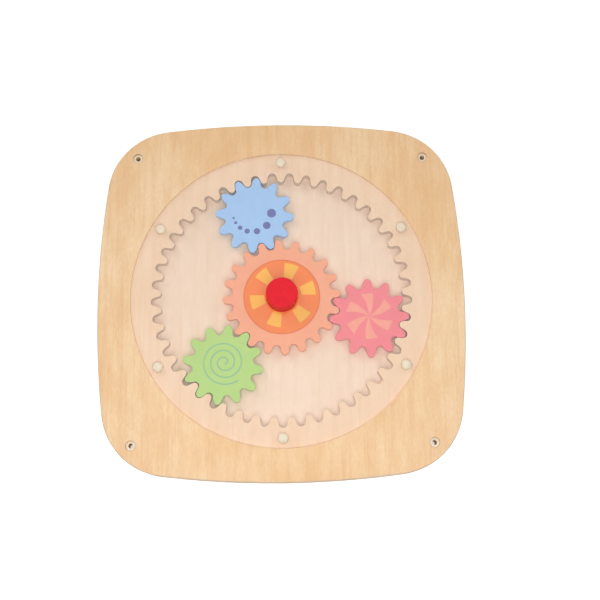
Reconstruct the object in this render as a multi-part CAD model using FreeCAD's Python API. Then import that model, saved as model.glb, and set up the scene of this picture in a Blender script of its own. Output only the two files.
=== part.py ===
import FreeCAD, Part

import math
import os

# Wooden crank gear toy: a square wall panel with a planetary gear set in its face.
# A child turns the red knob, the sun gear under it turns with it, and three painted
# planet gears roll round inside a ring gear that is cut into the front board, all
# behind a clear cover that is let in flush with the face.
#
# Millimetres.  Origin at the centre of the panel's back face, +Z out of the face,
# +Y towards the panel's top.

Vector = FreeCAD.Vector
UP = Vector(0, 0, 1)

# --- Panel ---------------------------------------------------------------------------
PANEL_SIZE = 375.0          # across the middle of two opposite sides
SIDE_RADIUS = 950.0         # the sides are bowed, not straight
CORNER_RADIUS = 70.0
EDGE_ROUND = 1.5            # eased edge all round the face and the back
BACK_THICKNESS = 6.0
FRONT_THICKNESS = 12.0
FLOOR_Z = BACK_THICKNESS
FACE_Z = BACK_THICKNESS + FRONT_THICKNESS

# --- Wall screw holes ----------------------------------------------------------------
WALL_HOLE_SPACING = 300.0
WALL_HOLE_DIAMETER = 5.0
WALL_SINK_DIAMETER = 10.0
WALL_SINK_DEPTH = 2.0

# --- Clear cover and its fixings -----------------------------------------------------
COVER_DIAMETER = 308.0
COVER_THICKNESS = 3.0
COVER_GAP = 0.4             # between the cover's edge and the rebate's wall
COVER_EDGE_BREAK = 0.4
COVER_HOLE_DIAMETER = 34.0  # the cover drops over the knob
LEDGE_Z = FACE_Z - COVER_THICKNESS
SCREW_COUNT = 6
SCREW_CIRCLE_RADIUS = 144.1
SCREW_DIAMETER = 3.5
SCREW_LENGTH = 10.5         # below the cap washer
SCREW_POINT = 2.5
SCREW_HEAD_DIAMETER = 6.2
SCREW_HEAD_HEIGHT = 1.1
CAP_WASHER_DIAMETER = 8.4
CAP_WASHER_THICKNESS = 0.7
CAP_DIAMETER = 10.2
CAP_HEIGHT = 3.4
CAP_WALL = 0.6
CAP_SKIRT = 1.2             # height of the straight side under the dome
FIT = 0.05                  # radial clearance of a pin, bush or screw in its hole

# --- Gear train ----------------------------------------------------------------------
SUN_TEETH = 20
PLANET_TEETH = 12
RING_TEETH = 45
CENTRE_DISTANCE = 92.0      # sun axis to planet axis
PRESSURE_ANGLE = math.radians(18.5)
MODULE = 2.0 * CENTRE_DISTANCE / (SUN_TEETH + PLANET_TEETH)
PLANET_TOOTH = 9.8          # tooth thickness on the planet's own pitch circle
BACKLASH = 0.8              # loose mesh, as wooden gears for small hands have
SUN_TIP_RADIUS = 60.4
SUN_ROOT_RADIUS = 50.6
PLANET_TIP_RADIUS = 40.8
PLANET_ROOT_RADIUS = 30.8
RING_TIP_RADIUS = 123.4     # ends of the ring's teeth, nearest the centre
RING_ROOT_RADIUS = 133.6    # bottoms of the spaces between them
GEAR_THICKNESS = 5.8
GEAR_TOP_Z = LEDGE_Z - 0.6
GEAR_BOTTOM_Z = GEAR_TOP_Z - GEAR_THICKNESS
FLANK_POINTS = 5            # points that each involute flank is drawn through

# One of the ring's 45 spaces points straight down.  The first planet's angle then
# sets how the sun is turned, and each planet sits where it meshes with both.
RING_SPACE_ANGLE = -90.0
FIRST_PLANET_ANGLE = -14.3
MESH_STEP = 360.0 / (SUN_TEETH + RING_TEETH)
PLANET_STEPS = {"pink": 0, "blue": 22, "green": -21}

# --- Knob, axle, bushes and carrier --------------------------------------------------
KNOB_DIAMETER = 32.0
KNOB_HEIGHT = 19.1          # above the sun gear's face, which the knob stands on
KNOB_TOP_ROUND = 1.4
SPIGOT_DIAMETER = 20.0      # the knob's spigot is glued into the sun gear
AXLE_DIAMETER = 8.0
AXLE_TOP_Z = 24.0
AXLE_BREAK = 0.8
AXLE_FLANGE_DIAMETER = 18.0
AXLE_FLANGE_THICKNESS = 1.6
AXLE_SINK = 0.2             # the flange lies this far below the panel's back
BUSH_WALL = 2.0
CRANK_BUSH_LENGTH = 15.6
RUNNING_GAP = 0.1           # between faces that turn on each other
CARRIER_THICKNESS = 1.5
CARRIER_BOTTOM_Z = FLOOR_Z + 0.6
CARRIER_TOP_Z = CARRIER_BOTTOM_Z + CARRIER_THICKNESS
CARRIER_HUB_RADIUS = 13.0
CARRIER_ARM_WIDTH = 9.0
CARRIER_EYE_RADIUS = 7.5
THRUST_WASHER_DIAMETER = 22.0
BUSH_FLANGE = 2.5           # how far a bush's flange stands past its sleeve
PIN_DIAMETER = 6.0
PIN_TAIL_DIAMETER = 4.0
PIN_BREAK = 0.4
PLANET_BUSH_WALL = 1.5
PLANET_BORE_DEPTH = 4.2


def rotated(x, y, angle):
    """The point (x, y) turned about the origin by an angle in radians."""
    c, s = math.cos(angle), math.sin(angle)
    return Vector(x * c - y * s, x * s + y * c, 0)


def on_circle(radius, degrees):
    """The point at an angle on a circle about the Z axis."""
    a = math.radians(degrees)
    return Vector(radius * math.cos(a), radius * math.sin(a), 0)


def rod(diameter, z0, z1, centre=Vector(0, 0, 0)):
    """An upright cylinder between two heights."""
    base = Vector(centre.x, centre.y, z0)
    return Part.makeCylinder(diameter / 2.0, z1 - z0, base, UP)


def tube(outer, inner, z0, z1, centre=Vector(0, 0, 0)):
    """An upright tube between two heights."""
    return rod(outer, z0, z1, centre).cut(rod(inner, z0 - 1, z1 + 1, centre))


def rim_edges(solid, z, smallest=0.0):
    """The edges of a solid that lie flat at one height and are longer than smallest."""
    return [e for e in solid.Edges
            if abs(e.BoundBox.ZMin - z) < 1e-6 and abs(e.BoundBox.ZMax - z) < 1e-6
            and e.Length > smallest]


# --- Panel ---------------------------------------------------------------------------

def panel_wire(z):
    """Square outline of four bowed sides that run smoothly into four round corners."""
    half = PANEL_SIZE / 2.0
    side_centre = half - SIDE_RADIUS
    # The corner's centre (c, c) lies SIDE_RADIUS - CORNER_RADIUS from the side's centre.
    reach = SIDE_RADIUS - CORNER_RADIUS
    c = (side_centre + math.sqrt(2.0 * reach ** 2 - side_centre ** 2)) / 2.0
    grow = SIDE_RADIUS / reach
    end = Vector(side_centre + (c - side_centre) * grow, c * grow, 0)
    diagonal = c + CORNER_RADIUS / math.sqrt(2.0)
    edges = []
    for quarter in range(4):
        turn = quarter * math.pi / 2.0
        side = [rotated(end.x, -end.y, turn), rotated(half, 0, turn), rotated(end.x, end.y, turn)]
        corner = [side[2], rotated(diagonal, diagonal, turn), rotated(end.y, end.x, turn)]
        edges += [Part.Arc(*side).toShape(), Part.Arc(*corner).toShape()]
    wire = Part.Wire(edges)
    wire.translate(Vector(0, 0, z))
    return wire


def panel_slab(z0, z1, rounded_z):
    """The panel's outline as a board, with the edge at one height eased."""
    slab = Part.Face(panel_wire(z0)).extrude(Vector(0, 0, z1 - z0))
    return slab.makeFillet(EDGE_ROUND, rim_edges(slab, rounded_z))


def wall_hole_centres():
    half = WALL_HOLE_SPACING / 2.0
    return [Vector(x, y, 0) for x in (-half, half) for y in (-half, half)]


def cover_screw_centres():
    return [on_circle(SCREW_CIRCLE_RADIUS, 90.0 + 360.0 * i / SCREW_COUNT)
            for i in range(SCREW_COUNT)]


def front_board():
    board = panel_slab(FLOOR_Z, FACE_Z, FACE_Z)
    pocket = gear_solid(ring_space_form(), RING_SPACE_ANGLE, FLOOR_Z - 1, LEDGE_Z + 1)
    rebate = rod(COVER_DIAMETER + 2 * COVER_GAP, LEDGE_Z, FACE_Z + 1)
    board = board.cut(pocket).cut(rebate)
    for centre in wall_hole_centres():
        board = board.cut(rod(WALL_HOLE_DIAMETER, FLOOR_Z - 1, FACE_Z + 1, centre))
        board = board.cut(rod(WALL_SINK_DIAMETER, FACE_Z - WALL_SINK_DEPTH, FACE_Z + 1, centre))
    pilot_bottom = FACE_Z + CAP_WASHER_THICKNESS - SCREW_LENGTH - 1
    for centre in cover_screw_centres():
        board = board.cut(rod(SCREW_DIAMETER + 2 * FIT, pilot_bottom, FACE_Z, centre))
    return board


def back_board():
    board = panel_slab(0, BACK_THICKNESS, 0)
    for centre in wall_hole_centres():
        board = board.cut(rod(WALL_HOLE_DIAMETER, -1, FLOOR_Z + 1, centre))
    board = board.cut(rod(AXLE_DIAMETER + 2 * FIT, -1, FLOOR_Z + 1))
    flange_top = AXLE_SINK + AXLE_FLANGE_THICKNESS
    return board.cut(rod(AXLE_FLANGE_DIAMETER + 2 * FIT, -1, flange_top))


# --- Cover, screws, washers and caps -------------------------------------------------

def cover_disc():
    disc = rod(COVER_DIAMETER, LEDGE_Z, FACE_Z)
    disc = disc.makeChamfer(COVER_EDGE_BREAK, rim_edges(disc, FACE_Z))
    disc = disc.cut(rod(COVER_HOLE_DIAMETER, LEDGE_Z - 1, FACE_Z + 1))
    for centre in cover_screw_centres():
        disc = disc.cut(rod(SCREW_DIAMETER + 4 * FIT, LEDGE_Z - 1, FACE_Z + 1, centre))
    return disc


def cover_screw(centre):
    """Wood screw with a low flat head, a plain shank and a cone point."""
    seat = FACE_Z + CAP_WASHER_THICKNESS
    tip = seat - SCREW_LENGTH
    shank = rod(SCREW_DIAMETER, tip + SCREW_POINT, seat, centre)
    point_base = Vector(centre.x, centre.y, tip + SCREW_POINT)
    point = Part.makeCone(SCREW_DIAMETER / 2.0, 0.0, SCREW_POINT, point_base, -UP)
    head = rod(SCREW_HEAD_DIAMETER, seat, seat + SCREW_HEAD_HEIGHT, centre)
    return shank.fuse([point, head]).removeSplitter()


def cap_washer(centre):
    top = FACE_Z + CAP_WASHER_THICKNESS
    return tube(CAP_WASHER_DIAMETER, SCREW_DIAMETER + 2 * FIT, FACE_Z, top, centre)


def domed_cap(centre):
    """Hollow snap cap: a low dome whose skirt closes round the washer."""
    outer = dome(CAP_DIAMETER / 2.0, CAP_SKIRT, CAP_HEIGHT)
    inner = dome(CAP_DIAMETER / 2.0 - CAP_WALL, CAP_SKIRT, CAP_HEIGHT - CAP_WALL)
    cap = outer.cut(inner)
    cap.translate(Vector(centre.x, centre.y, FACE_Z))
    return cap


def dome(radius, skirt, height):
    """A short cylinder with a round top, standing on the origin."""
    rise = height - skirt
    bow = (radius ** 2 + rise ** 2) / (2.0 * rise)
    middle = on_circle(bow, 90.0 - math.degrees(math.asin(radius / bow)) / 2.0)
    shoulder = Vector(radius, 0, skirt)
    crown = Vector(0, 0, height)
    top = Part.Arc(shoulder, Vector(middle.x, 0, height - bow + middle.y), crown).toShape()
    sides = Part.makePolygon([crown, Vector(0, 0, 0), Vector(radius, 0, 0), shoulder])
    return Part.Face(Part.Wire(sides.Edges + [top])).revolve(Vector(0, 0, 0), UP, 360)


# --- Teeth ---------------------------------------------------------------------------

def involute(angle):
    return math.tan(angle) - angle


def solve(error, low, high):
    """Where a function that changes sign once between low and high is zero."""
    rising = error(high) > 0
    for _ in range(60):
        middle = (low + high) / 2.0
        if (error(middle) > 0) == rising:
            high = middle
        else:
            low = middle
    return (low + high) / 2.0


class ToothForm:
    """Involute tooth whose end and whose gap are each closed by one tangent arc."""

    def __init__(self, teeth, tip_radius, root_radius, thickness, at_radius):
        self.teeth = teeth
        self.base = teeth * MODULE * math.cos(PRESSURE_ANGLE) / 2.0
        slope = math.acos(self.base / at_radius)
        self.half_base = thickness / (2.0 * at_radius) + involute(slope)
        self.tip_radius = tip_radius
        self.root_radius = root_radius
        nearly_base = self.base * (1 + 1e-9)
        self.tip_contact = solve(lambda r: self.arc_error(r, 0.0, tip_radius, 1), nearly_base, tip_radius)
        gap = math.pi / teeth
        self.root_contact = solve(lambda r: self.arc_error(r, gap, root_radius, -1), nearly_base,
                                  self.base * 1.2)

    def flank(self, radius):
        """Point of the upper flank of the tooth that lies along +X, and its pressure angle."""
        slope = math.acos(min(1.0, self.base / radius))
        at = self.half_base - involute(slope)
        return rotated(radius, 0, at), at - slope

    def arc_error(self, radius, axis_angle, wanted, side):
        """How far an arc tangent to the flank at radius misses the wanted circle.

        The arc is centred on the line at axis_angle.  Its far point is outside its
        centre where side is 1 (a tooth's end) and inside it where side is -1 (a gap).
        """
        centre, size = self.arc(radius, axis_angle)
        return centre + side * size - wanted

    def arc(self, radius, axis_angle):
        """Distance of the arc's centre from the gear's axis, and the arc's radius."""
        point, foot_angle = self.flank(radius)
        foot = rotated(self.base, 0, foot_angle)
        normal = foot - point if axis_angle == 0.0 else point - foot
        normal.normalize()
        axis = rotated(1, 0, axis_angle)
        across = rotated(0, 1, axis_angle)
        closing = normal.dot(across)
        if abs(closing) < 1e-12:
            return self.tip_radius * 1e3, 0.0
        size = -point.dot(across) / closing
        return (point + normal * size).dot(axis), size

    def edges(self, number, turn):
        """End arc, two flanks and gap arc of one tooth, turned into place."""
        step = 2.0 * math.pi / self.teeth
        place = turn + number * step
        radii = [self.tip_contact + (self.root_contact - self.tip_contact) * i / (FLANK_POINTS - 1)
                 for i in range(FLANK_POINTS)]
        upper = [self.flank(r)[0] for r in radii]
        lower = [Vector(p.x, -p.y, 0) for p in upper]
        next_flank = [rotated(p.x, p.y, step) for p in lower]
        tip_end = Vector(self.tip_radius, 0, 0)
        gap_end = rotated(self.root_radius, 0, step / 2.0)

        def put(points):
            return [rotated(p.x, p.y, place) for p in points]

        return [Part.Arc(*put([lower[0], tip_end, upper[0]])).toShape(),
                spline(put(upper)),
                Part.Arc(*put([upper[-1], gap_end, next_flank[-1]])).toShape(),
                spline(put(reversed(next_flank)))]


def spline(points):
    curve = Part.BSplineCurve()
    curve.interpolate(list(points))
    return curve.toShape()


def sun_form():
    pitch_radius = SUN_TEETH * MODULE / 2.0
    thickness = math.pi * MODULE - PLANET_TOOTH - BACKLASH
    return ToothForm(SUN_TEETH, SUN_TIP_RADIUS, SUN_ROOT_RADIUS, thickness, pitch_radius)


def planet_form():
    pitch_radius = PLANET_TEETH * MODULE / 2.0
    return ToothForm(PLANET_TEETH, PLANET_TIP_RADIUS, PLANET_ROOT_RADIUS, PLANET_TOOTH, pitch_radius)


def ring_space_form():
    """The spaces of the ring gear, which have the form of an outer gear's teeth."""
    planet = planet_form()
    rolling_planet = CENTRE_DISTANCE * PLANET_TEETH / (RING_TEETH - PLANET_TEETH)
    rolling_ring = CENTRE_DISTANCE * RING_TEETH / (RING_TEETH - PLANET_TEETH)
    slope = math.acos(planet.base / rolling_planet)
    planet_thickness = 2.0 * rolling_planet * (planet.half_base - involute(slope))
    return ToothForm(RING_TEETH, RING_ROOT_RADIUS, RING_TIP_RADIUS, planet_thickness + BACKLASH, rolling_ring)


def gear_solid(form, tooth_angle, z0, z1):
    """A toothed blank about the Z axis with one tooth at an angle in degrees."""
    edges = []
    for number in range(form.teeth):
        edges += form.edges(number, math.radians(tooth_angle))
    wire = Part.Wire(Part.__sortEdges__(edges))
    wire.translate(Vector(0, 0, z0))
    return Part.Face(wire).extrude(Vector(0, 0, z1 - z0))


def planet_angle(colour):
    return FIRST_PLANET_ANGLE + PLANET_STEPS[colour] * MESH_STEP


def sun_tooth_angle():
    """A sun tooth's angle, from the planet that meshes with both sun and ring."""
    mesh = (SUN_TEETH + RING_TEETH) * FIRST_PLANET_ANGLE - RING_TEETH * RING_SPACE_ANGLE
    half_turn = 180.0 + 180.0 * PLANET_TEETH
    return (mesh - half_turn) / SUN_TEETH


def planet_tooth_angle(colour):
    """A planet tooth's angle, from the ring space that it fills."""
    at = planet_angle(colour)
    return at - (at - RING_SPACE_ANGLE) * RING_TEETH / PLANET_TEETH


def sun_gear():
    gear = gear_solid(sun_form(), sun_tooth_angle(), GEAR_BOTTOM_Z, GEAR_TOP_Z)
    return gear.cut(rod(SPIGOT_DIAMETER + 2 * FIT, GEAR_BOTTOM_Z - 1, GEAR_TOP_Z + 1))


def planet_bush_diameter():
    return PIN_DIAMETER + 2 * FIT + 2 * PLANET_BUSH_WALL


def planet_gear(colour):
    gear = gear_solid(planet_form(), planet_tooth_angle(colour), GEAR_BOTTOM_Z, GEAR_TOP_Z)
    bore_top = GEAR_BOTTOM_Z + PLANET_BORE_DEPTH
    gear = gear.cut(rod(planet_bush_diameter() + 2 * FIT, GEAR_BOTTOM_Z - 1, bore_top))
    gear.translate(on_circle(CENTRE_DISTANCE, planet_angle(colour)))
    return gear


# --- Knob, axle, bushes and carrier --------------------------------------------------

def crank_bush_diameter():
    return AXLE_DIAMETER + 2 * FIT + 2 * BUSH_WALL


def knob():
    """Turned knob with a spigot that is glued into the sun gear."""
    top = GEAR_TOP_Z + KNOB_HEIGHT
    head = rod(KNOB_DIAMETER, GEAR_TOP_Z, top)
    head = head.makeFillet(KNOB_TOP_ROUND, rim_edges(head, top))
    turned = head.fuse(rod(SPIGOT_DIAMETER, GEAR_BOTTOM_Z, GEAR_TOP_Z)).removeSplitter()
    bore_top = GEAR_BOTTOM_Z + CRANK_BUSH_LENGTH + 1
    return turned.cut(rod(crank_bush_diameter() + 2 * FIT, GEAR_BOTTOM_Z - 1, bore_top))


def crank_bush():
    top = GEAR_BOTTOM_Z + CRANK_BUSH_LENGTH
    return tube(crank_bush_diameter(), AXLE_DIAMETER + 2 * FIT, GEAR_BOTTOM_Z, top)


def axle_pin():
    """Steel pin with a flange let into the panel's back."""
    shank = rod(AXLE_DIAMETER, AXLE_SINK, AXLE_TOP_Z)
    shank = shank.makeChamfer(AXLE_BREAK, rim_edges(shank, AXLE_TOP_Z))
    flange_top = AXLE_SINK + AXLE_FLANGE_THICKNESS
    return shank.fuse(rod(AXLE_FLANGE_DIAMETER, AXLE_SINK, flange_top)).removeSplitter()


def thrust_washer():
    top = CARRIER_BOTTOM_Z - RUNNING_GAP
    return tube(THRUST_WASHER_DIAMETER, AXLE_DIAMETER + 2 * FIT, FLOOR_Z, top)


def planet_carrier():
    """Thin plate with a hub and one arm under each planet."""
    plate = rod(2 * CARRIER_HUB_RADIUS, CARRIER_BOTTOM_Z, CARRIER_TOP_Z)
    for colour in PLANET_STEPS:
        angle = planet_angle(colour)
        arm = Part.makeBox(CENTRE_DISTANCE, CARRIER_ARM_WIDTH, CARRIER_THICKNESS,
                           Vector(0, -CARRIER_ARM_WIDTH / 2.0, CARRIER_BOTTOM_Z))
        arm.rotate(Vector(0, 0, 0), UP, angle)
        centre = on_circle(CENTRE_DISTANCE, angle)
        plate = plate.fuse([arm, rod(2 * CARRIER_EYE_RADIUS, CARRIER_BOTTOM_Z, CARRIER_TOP_Z, centre)])
    for colour in PLANET_STEPS:
        centre = on_circle(CENTRE_DISTANCE, planet_angle(colour))
        plate = plate.cut(rod(PIN_TAIL_DIAMETER + 2 * FIT, 0, FACE_Z, centre))
    plate = plate.cut(rod(crank_bush_diameter() + 2 * FIT, 0, FACE_Z))
    return plate.removeSplitter()


def flanged_bush(sleeve, bore, z0, flange_z, z1, centre=Vector(0, 0, 0)):
    """A bush with its flange between flange_z and whichever end is nearer."""
    end = z0 if flange_z - z0 < z1 - flange_z else z1
    low, high = min(end, flange_z), max(end, flange_z)
    body = rod(sleeve, z0, z1, centre).fuse(rod(sleeve + 2 * BUSH_FLANGE, low, high, centre))
    return body.cut(rod(bore, z0 - 1, z1 + 1, centre)).removeSplitter()


def carrier_bush():
    """Bush in the carrier's hub, with a flange that the sun gear runs on."""
    return flanged_bush(crank_bush_diameter(), AXLE_DIAMETER + 2 * FIT, CARRIER_BOTTOM_Z,
                        CARRIER_TOP_Z, GEAR_BOTTOM_Z - RUNNING_GAP)


def planet_bush(colour):
    """Bush in a planet gear's blind bore, with a flange that runs on the carrier."""
    centre = on_circle(CENTRE_DISTANCE, planet_angle(colour))
    top = GEAR_BOTTOM_Z + PLANET_BORE_DEPTH - RUNNING_GAP
    return flanged_bush(planet_bush_diameter(), PIN_DIAMETER + 2 * FIT, CARRIER_TOP_Z + RUNNING_GAP,
                        GEAR_BOTTOM_Z, top, centre)


def planet_pin(colour):
    """Steel pin with a riveted tail in the carrier."""
    centre = on_circle(CENTRE_DISTANCE, planet_angle(colour))
    top = GEAR_BOTTOM_Z + PLANET_BORE_DEPTH - 2 * RUNNING_GAP
    pin = rod(PIN_DIAMETER, CARRIER_TOP_Z, top, centre)
    pin = pin.makeChamfer(PIN_BREAK, rim_edges(pin, top))
    return pin.fuse(rod(PIN_TAIL_DIAMETER, CARRIER_BOTTOM_Z, CARRIER_TOP_Z, centre)).removeSplitter()


def group(solids):
    return Part.makeCompound(list(solids))


def all_nodes():
    nodes = {
        "front_board": front_board(),
        "back_board": back_board(),
        "cover_disc": cover_disc(),
        "cover_screws": group(cover_screw(c) for c in cover_screw_centres()),
        "cap_washers": group(cap_washer(c) for c in cover_screw_centres()),
        "screw_caps": group(domed_cap(c) for c in cover_screw_centres()),
        "axle_pin": axle_pin(),
        "thrust_washer": thrust_washer(),
        "sun_gear": sun_gear(),
        "knob": knob(),
        "crank_bush": crank_bush(),
        "planet_carrier": planet_carrier(),
        "carrier_bush": carrier_bush(),
        "planet_pins": group(planet_pin(colour) for colour in PLANET_STEPS),
    }
    for colour in PLANET_STEPS:
        nodes[colour + "_gear"] = planet_gear(colour)
        nodes[colour + "_bush"] = planet_bush(colour)
    return nodes


os.makedirs("parts", exist_ok=True)
for name, shape in all_nodes().items():
    shape.exportStep("parts/%s.step" % name)
    print("%-16s %d solid(s)  %.0f mm3  valid %s" % (name, len(shape.Solids), shape.Volume, shape.isValid()))
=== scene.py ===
"""Looks of the wooden crank gear toy.

A square birch panel with bowed sides holds a sun wheel, three planet wheels and the teeth that
they roll on, all behind a clear cover.  Each sub-assembly is a class: its sizes are fields, in
millimetres, and its methods build and dress its pieces.

The part's own frame is in metres, with its origin at the middle of the panel's back, +Z out of
the face and +Y towards the top.
"""

import logging
import math
from dataclasses import dataclass, field
from enum import Enum
from typing import Callable, Iterable

import bmesh
import bpy
from bmesh.types import BMEdge, BMesh, BMFace, BMVert
from bpy.types import ID, Light, Material, Node, NodeSocket, NodeTree, Object
from mathutils import Euler, Matrix, Vector


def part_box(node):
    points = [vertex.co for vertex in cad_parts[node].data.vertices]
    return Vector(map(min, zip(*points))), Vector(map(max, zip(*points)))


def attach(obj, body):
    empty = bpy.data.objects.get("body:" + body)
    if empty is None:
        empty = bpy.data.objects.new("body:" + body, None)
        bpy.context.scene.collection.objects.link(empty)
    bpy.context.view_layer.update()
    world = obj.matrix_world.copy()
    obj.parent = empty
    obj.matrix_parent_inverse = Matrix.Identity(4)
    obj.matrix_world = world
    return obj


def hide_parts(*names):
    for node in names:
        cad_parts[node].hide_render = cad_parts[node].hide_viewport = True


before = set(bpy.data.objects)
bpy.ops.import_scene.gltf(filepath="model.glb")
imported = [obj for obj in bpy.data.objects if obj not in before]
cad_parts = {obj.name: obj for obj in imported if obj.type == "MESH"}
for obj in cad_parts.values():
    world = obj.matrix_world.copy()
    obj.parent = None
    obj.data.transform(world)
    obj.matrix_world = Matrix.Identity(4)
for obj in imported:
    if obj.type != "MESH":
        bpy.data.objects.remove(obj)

MM = 0.001
MERGE = 0.002           # corners nearer than this, in millimetres, are one corner
LEVEL = 0.01            # a corner this near a height, in millimetres, is at it
COPLANAR = 0.4          # faces that turn by less than this, in degrees, are one face

# How much a face's normal points up or down.
FLAT = 0.999            # from here on the face is level
SLOPED = 0.8            # from here on it is a top or a bottom
STEEP = 0.5             # below this it is a wall

# Settings that repeat, and the sockets of a Mix node that mixes two colours.
SMOOTHLY = {"interpolation_type": "SMOOTHSTEP"}
COLOURS = {"data_type": "RGBA"}
AMOUNT, FIRST, SECOND = 0, 6, 7
MIXED = 2

WHITE = "#FFFFFF"
Point = tuple[float, float]
Size = float | tuple[float, float, float]       # the same every way, or along X, Y and Z
log = logging.getLogger("gear_toy")


# --- Nodes and finishes ----------------------------------

def linear(colour: str) -> tuple[float, float, float, float]:
    """Turn an sRGB hex colour into linear red, green, blue and alpha.

    Args:
        colour: The colour as "#RRGGBB".

    Returns:
        The four channels, from 0 to 1.
    """
    channels = [int(colour[i:i + 2], 16) / 255.0 for i in (1, 3, 5)]
    red, green, blue = (c / 12.92 if c <= 0.04045 else ((c + 0.055) / 1.055) ** 2.4
                        for c in channels)
    return red, green, blue, 1.0


def add_node(tree: NodeTree, kind: str, settings: dict | None = None,
             inputs: dict | None = None) -> Node:
    """Add one node with its settings and links.

    Args:
        tree: The node tree that gets the node.
        kind: The type of the node.
        settings: Values of the node's own properties, by name.
        inputs: What each input gets, by name or number. A socket is linked, anything else is set.

    Returns:
        The new node.
    """
    node = tree.nodes.new(kind)
    for name, value in (settings or {}).items():
        setattr(node, name, value)
    for key, value in (inputs or {}).items():
        if isinstance(value, NodeSocket):
            tree.links.new(value, node.inputs[key])
        else:
            node.inputs[key].default_value = value
    return node


def in_millimetres(tree: NodeTree, size: Size, shift: float = 0.0) -> NodeSocket:
    """Give coordinates in which a pattern one unit wide has a real size.

    Args:
        tree: The node tree.
        size: Width of one unit, in millimetres.
        shift: Moves the pattern, so that two uses of it differ.

    Returns:
        The scaled coordinates.
    """
    widths = size if isinstance(size, tuple) else (size, size, size)
    where = add_node(tree, "ShaderNodeTexCoord")
    scaled = add_node(tree, "ShaderNodeMapping", inputs={
        "Vector": where.outputs["Object"], "Scale": tuple(1.0 / (MM * w) for w in widths),
        "Location": (shift, 1.7 * shift, 0.3 * shift)})
    return scaled.outputs["Vector"]


def mottle(tree: NodeTree, size: Size, low: float = 0.0, high: float = 1.0,
           detail: float = 2.0, shift: float = 0.0) -> NodeSocket:
    """Spread a value over the surface in soft patches of a real size.

    Args:
        tree: The node tree.
        size: Width of a patch, in millimetres.
        low: The value in the lowest patches.
        high: The value in the highest patches.
        detail: How many finer layers lie in the patches.
        shift: Moves the pattern, so that two uses of it differ.

    Returns:
        The value.
    """
    band = 0.16             # the noise seldom leaves 0.5 by more than this
    patches = add_node(tree, "ShaderNodeTexNoise", inputs={
        "Vector": in_millimetres(tree, size, shift), "Scale": 1.0, "Detail": detail})
    spread = add_node(tree, "ShaderNodeMapRange", inputs={
        "Value": patches.outputs[0], "From Min": 0.5 - band, "From Max": 0.5 + band,
        "To Min": low, "To Max": high})
    return spread.outputs[0]


def weigh(tree: NodeTree, parts: list[tuple[NodeSocket, float]]) -> NodeSocket:
    """Add patterns up, each with its own weight.

    Args:
        tree: The node tree.
        parts: The patterns and their weights.

    Returns:
        The sum.
    """
    total: NodeSocket | float = 0.0
    for pattern, weight in parts:
        total = add_node(tree, "ShaderNodeMath", {"operation": "MULTIPLY_ADD"}, {
            0: pattern, 1: weight, 2: total}).outputs[0]
    return total


def seen_as_it_is(tree: NodeTree) -> NodeSocket:
    """Tell the rays that show a surface from those that bring its light to the object.

    Args:
        tree: The node tree.

    Returns:
        1 for a ray that comes straight, mirrored or through something clear, and else 0.
    """
    path = add_node(tree, "ShaderNodeLightPath")
    seen = path.outputs["Is Camera Ray"]
    for kind in ("Is Glossy Ray", "Is Transmission Ray"):
        seen = add_node(tree, "ShaderNodeMath", {"operation": "MAXIMUM"}, {
            0: seen, 1: path.outputs[kind]}).outputs[0]
    return seen


@dataclass(frozen=True)
class Finish:
    """What a surface is made of. Each kind of finish lays out its own pattern."""

    name: str

    def material(self) -> Material:
        """Give this finish's material, which is made when it is first asked for.

        Returns:
            The material.
        """
        made = bpy.data.materials.get(self.name)
        if made is None:
            made = bpy.data.materials.new(self.name)
            made.use_nodes = True
            made.node_tree.nodes.clear()
            self.lay_out(made.node_tree)
        return made

    def lay_out(self, tree: NodeTree) -> None:
        """Fill the material's node tree. Each kind of finish does this its own way."""
        raise NotImplementedError

    def close(self, tree: NodeTree, colour: NodeSocket, roughness: NodeSocket, height: NodeSocket,
              depth: float, **constants: float) -> None:
        """Join a finish's patterns in its shader.

        Args:
            tree: The node tree.
            colour: Base colour.
            roughness: Roughness.
            height: Height of the surface's relief, from 0 to 1.
            depth: Depth of that relief, in millimetres.
            constants: Shader inputs that are the same all over, with _ for a blank in their names.
        """
        relief = add_node(tree, "ShaderNodeBump", inputs={
            "Height": height, "Distance": depth * MM, "Strength": 0.7})
        fixed = {name.replace("_", " "): value for name, value in constants.items()}
        shader = add_node(tree, "ShaderNodeBsdfPrincipled", inputs={
            "Base Color": colour, "Roughness": roughness, "Normal": relief.outputs[0], **fixed})
        add_node(tree, "ShaderNodeOutputMaterial", inputs={"Surface": shader.outputs[0]})


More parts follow.
